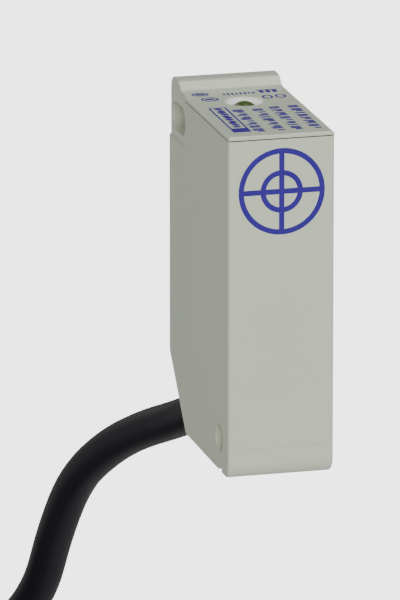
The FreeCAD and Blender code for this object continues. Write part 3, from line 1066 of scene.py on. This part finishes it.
@dataclass
class SensingTarget:
    """Target printed on the sensing face, over the middle of the sensing coil."""

    outer: float = 9.75
    inner: float = 4.8
    stroke: float = 0.6
    ink: float = 0.015

    def build(self, paint: Paintbox) -> None:
        """Prints two rings, a cross inside the small one and four bars between them.

        Args:
            paint: The finishes.
        """
        low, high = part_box("ferrite_core")
        height = (low[2] + high[2]) / 2 / MM
        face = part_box("case")[0][1] / MM
        ring_inside = self.inner / 2 - self.stroke
        ring_outside = self.outer / 2 - self.stroke
        marks = [
            (ring_band(ring_outside, self.outer / 2), True),
            (ring_band(ring_inside, self.inner / 2), True),
        ]
        for k in range(4):
            turn = k * RIGHT_ANGLE
            marks.append((spoke(self.inner / 2, ring_outside, self.stroke, turn), False))
            marks.append((spoke(0, ring_inside, self.stroke, turn), False))
        half = self.stroke / 2
        marks.append((block_bar((-half, -half), (half, half)), False))

        def on_face(pairs: np.ndarray) -> np.ndarray:
            """Points on the sensing face, from pairs across and up."""
            return np.stack([pairs[..., 0], np.full(pairs.shape[:2], face), height + pairs[..., 1]], axis=2)

        target = ink_sheet("target_print", marks, on_face, FORWARDS, self.ink)
        paint.dress(target, "print_blue")


@dataclass
class CoverPrint:
    """Plain marks on the cover: a frame, rows of strokes, ovals and bars.

    Places are (across, back): across from the middle of the cover, back from
    its front edge, in millimetres.
    """

    ink: float = 0.015
    frame_sides: Pair = (-4.85, -2.85)
    frame_ends: Pair = (2.1, 13.2)
    frame_line: float = 0.2
    block_depth: float = 1.7
    band_bars: int = 11
    band_start: float = 2.1
    band_pitch: float = 0.8
    band_width: float = 1.05
    band_shift: float = 0.1
    band_length: float = 0.62
    band_length_step: float = 0.08
    row_middles: tuple[float, ...] = (-1.9, 0.35, 2.35, 4.5)
    row_start: float = 1.9
    row_ends: tuple[float, ...] = (12.0, 11.2, 12.6, 12.6)
    row_foot: float = 0.6
    dash_lengths: tuple[float, ...] = (1.2, 0.7, 0.9, 0.4, 1.1, 0.8, 1.3, 0.5, 0.9, 0.6, 1.0)
    stroke_length: float = 0.42
    stroke_width: float = 0.38
    stroke_pitch: float = 0.5
    stroke_lead: float = 0.12
    group_gap: float = 0.36
    stroke_talls: Pair = (1.25, 0.85)
    left_ovals: tuple[Oval, ...] = ((-3.6, 17.1, 1.0, 0.85, 0.22), (-4.1, 19.5, 1.0, 0.75, 0.26))
    right_ovals: tuple[Oval, ...] = ((2.9, 16.7, 0.62, 0.8, 0.24), (4.4, 16.7, 0.62, 0.8, 0.24))
    oval_bar: Pair = (1.1, 0.5)
    row_of_strokes: int = 8
    row_place: Pair = (-1.5, 18.9)
    row_pitch: float = 0.48
    row_stroke_width: float = 0.24
    row_stroke_talls: Pair = (1.0, 0.7)
    block_count: int = 3
    block_place: Pair = (2.6, 18.6)
    block_size: Pair = (0.5, 1.0)
    block_pitch: float = 0.75
    underline: tuple[Pair, Pair] = ((2.4, 19.7), (4.9, 19.95))

    def frame_strip(self) -> list[np.ndarray]:
        """Draws a frame along one edge, with a solid front end and a row of short bars.

        Returns:
            The marks' pairs.
        """
        x0, x1 = self.frame_sides
        y0, y1 = self.frame_ends
        line, solid = self.frame_line, y0 + self.block_depth
        shapes = [
            block_bar((x0, y0), (x0 + line, y1)),
            block_bar((x1 - line, solid), (x1, y1)),
            block_bar((x0 + line, y0), (x1, solid)),
            block_bar((x0 + line, y1 - line), (x1 - line, y1)),
        ]
        for k in range(self.band_bars):
            middle = (x0 + x1) / 2 + self.band_shift * (k % 2)
            length = self.band_length + self.band_length_step * (k % 3)
            start = y0 + self.band_start + k * self.band_pitch
            shapes.append(pill((start + length / 2, middle), length, self.band_width)[..., ::-1])
        return shapes

    def dash_rows(self) -> list[np.ndarray]:
        """Draws four rows of upright strokes, in groups of uneven length.

        Returns:
            The marks' pairs.
        """
        shapes = []
        for row, middle in enumerate(self.row_middles):
            back, k = self.row_start, row * 3
            while back < self.row_ends[row]:
                length = self.dash_lengths[k % len(self.dash_lengths)]
                strokes = max(1, round(length / self.stroke_length))
                for s in range(strokes):
                    tall = self.stroke_talls[0] if (k + s) % 3 else self.stroke_talls[1]
                    across = middle + self.row_foot - tall / 2
                    along = back + self.stroke_lead + self.stroke_pitch * s
                    shapes.append(pill((across, along), tall, self.stroke_width))
                back += strokes * self.stroke_pitch + self.group_gap
                k += 1
        return shapes

    def plain_signs(self) -> list[Mark]:
        """Draws ovals at the back left, strokes at the back middle, bars and rings at the back right.

        An oval's numbers are its middle across and back, its two half sizes
        and its line's width.

        Returns:
            Each mark's pairs, and whether it closes into a ring.
        """
        left, right = (
            [(oval_band(*oval[2:]) + oval[:2], True) for oval in side]
            for side in (self.left_ovals, self.right_ovals)
        )
        signs = left + [(pill(oval[:2], *self.oval_bar), False) for oval in self.left_ovals]
        across, back = self.row_place
        for k in range(self.row_of_strokes):
            tall = self.row_stroke_talls[0] if k % 3 else self.row_stroke_talls[1]
            flat = pill((back, across + self.row_pitch * k), tall, self.row_stroke_width)
            signs.append((flat[..., ::-1], False))
        wide, deep = self.block_size
        for k in range(self.block_count):
            x, y = self.block_place[0] + self.block_pitch * k, self.block_place[1]
            signs.append((block_bar((x, y), (x + wide, y + deep)), False))
        signs.append((block_bar(*self.underline), False))
        return signs + right

    def build(self, paint: Paintbox) -> None:
        """Prints every mark on the cover's face.

        Args:
            paint: The finishes.
        """
        front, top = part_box("cap")[0][1] / MM, cover_height()
        marks = [(flat, False) for flat in self.frame_strip() + self.dash_rows()]

        def on_cover(pairs: np.ndarray) -> np.ndarray:
            """Points on the cover's face, from pairs across and back."""
            return np.stack([pairs[..., 0], front + pairs[..., 1], np.full(pairs.shape[:2], top)], axis=2)

        print_sheet = ink_sheet("cover_print", marks + self.plain_signs(), on_cover, UPWARDS, self.ink)
        paint.dress(print_sheet, "print_blue")


@dataclass
class SeamLine:
    """Painted shade in the joint under the cover: a dark bar along the front and both sides.

    The bar lies between the depths sunk and reach behind the housing's wall,
    whose upright edges have the radius corner. thick is the bar's height, and
    level is the height of its middle over the housing's foot.
    """

    half_width: float = 6.0
    corner: float = 0.35
    sunk: float = 0.03
    reach: float = 0.22
    thick: float = 0.116
    back: float = 18.7
    level: float = 38.54

    def build(self, paint: Paintbox) -> None:
        """Carries a flat bar along a path with two round corners.

        A corner's points are its centre plus r (cos a, sin a), and the bar's
        ends close in a point.

        Args:
            paint: The finishes.
        """
        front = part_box("case")[0][1] / MM
        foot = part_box("case")[0][2] / MM
        middle = (self.sunk + self.reach) / 2
        r = self.corner - middle
        bend = np.linspace(0, RIGHT_ANGLE, 7)
        inner = self.half_width - self.corner
        right = np.column_stack([inner + r * np.cos(bend), front + self.corner - r * np.sin(bend)])
        left = np.column_stack([-right[::-1, 0], right[::-1, 1]])
        back = front + self.back
        flat = np.concatenate([[[right[0, 0], back]], right, left, [[left[-1, 0], back]]])
        path = np.column_stack([flat, np.full(len(flat), foot + self.level)])
        up = np.tile([0.0, 0.0, 1.0], (len(path), 1))
        deep = (self.reach - self.sunk) / 2
        corners = np.array([[-1, -0.5], [1, -0.5], [1, 0.5], [-1, 0.5]])
        section = corners * [deep, self.thick]
        bar = swept(path, section, up, closed=False).points
        ends = [np.broadcast_to(bar[k].mean(axis=0), bar[k].shape)[None] for k in (0, -1)]
        bar = np.concatenate([ends[0], bar, ends[1]])
        # a dark bar in the gap paints the seam's shade
        line = mesh_piece("seam_line", [Patch(bar, round_columns=True)], smooth=False)
        paint.dress(line, "seam_painted_shade")


@dataclass
class LightDish:
    """Painted glare in the dish round the light: white that takes the cover's colour at the rim."""

    radius: float = 2.2
    depth: float = 0.8
    light_radius: float = 1.2
    covered: float = 0.995
    skin: float = 0.012

    def build(self, paint: Paintbox) -> None:
        """Lays a thin white skin of painted glare in the dish.

        Its height at radius r is that of a ball of radius R = (a^2 + d^2) /
        (2 d), for a dish of radius a and depth d: R - sqrt(R^2 - r^2) over
        the lowest point.

        Args:
            paint: The finishes.
        """
        low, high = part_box("led_lens")
        x, y = (low[0] + high[0]) / 2 / MM, (low[1] + high[1]) / 2 / MM
        ball = (self.radius**2 + self.depth**2) / (2 * self.depth)
        r = np.linspace(self.light_radius, self.radius * self.covered, 20)[:, None]
        angle = full_turn(96)[None, :]
        height = cover_height() - self.depth + ball - np.sqrt(ball**2 - r**2)
        points = np.stack([x + r * np.cos(angle), y + r * np.sin(angle), height + 0 * angle], axis=2)
        # the white skin paints glare; it is not the plastic's own colour
        dish = mesh_piece("dish_glare_skin", [Patch(points, round_columns=True)], UPWARDS)
        paint.dress(printed(dish, self.skin), "dish_painted_glare")


def main() -> None:
    """Builds camera, cable, sensor and finishes in order."""
    logging.basicConfig(level=logging.INFO, format="%(name)s %(message)s")
    paint = Paintbox()
    Studio().build_camera()
    bush = StrainRelief().build(paint)
    Cable().build(paint, bush)
    paint.dress_nodes()
    SensingTarget().build(paint)
    CoverPrint().build(paint)
    SeamLine().build(paint)
    LightDish().build(paint)
    Studio().build(CAD_BOX[0][2])


if __name__ == "__main__":
    main()
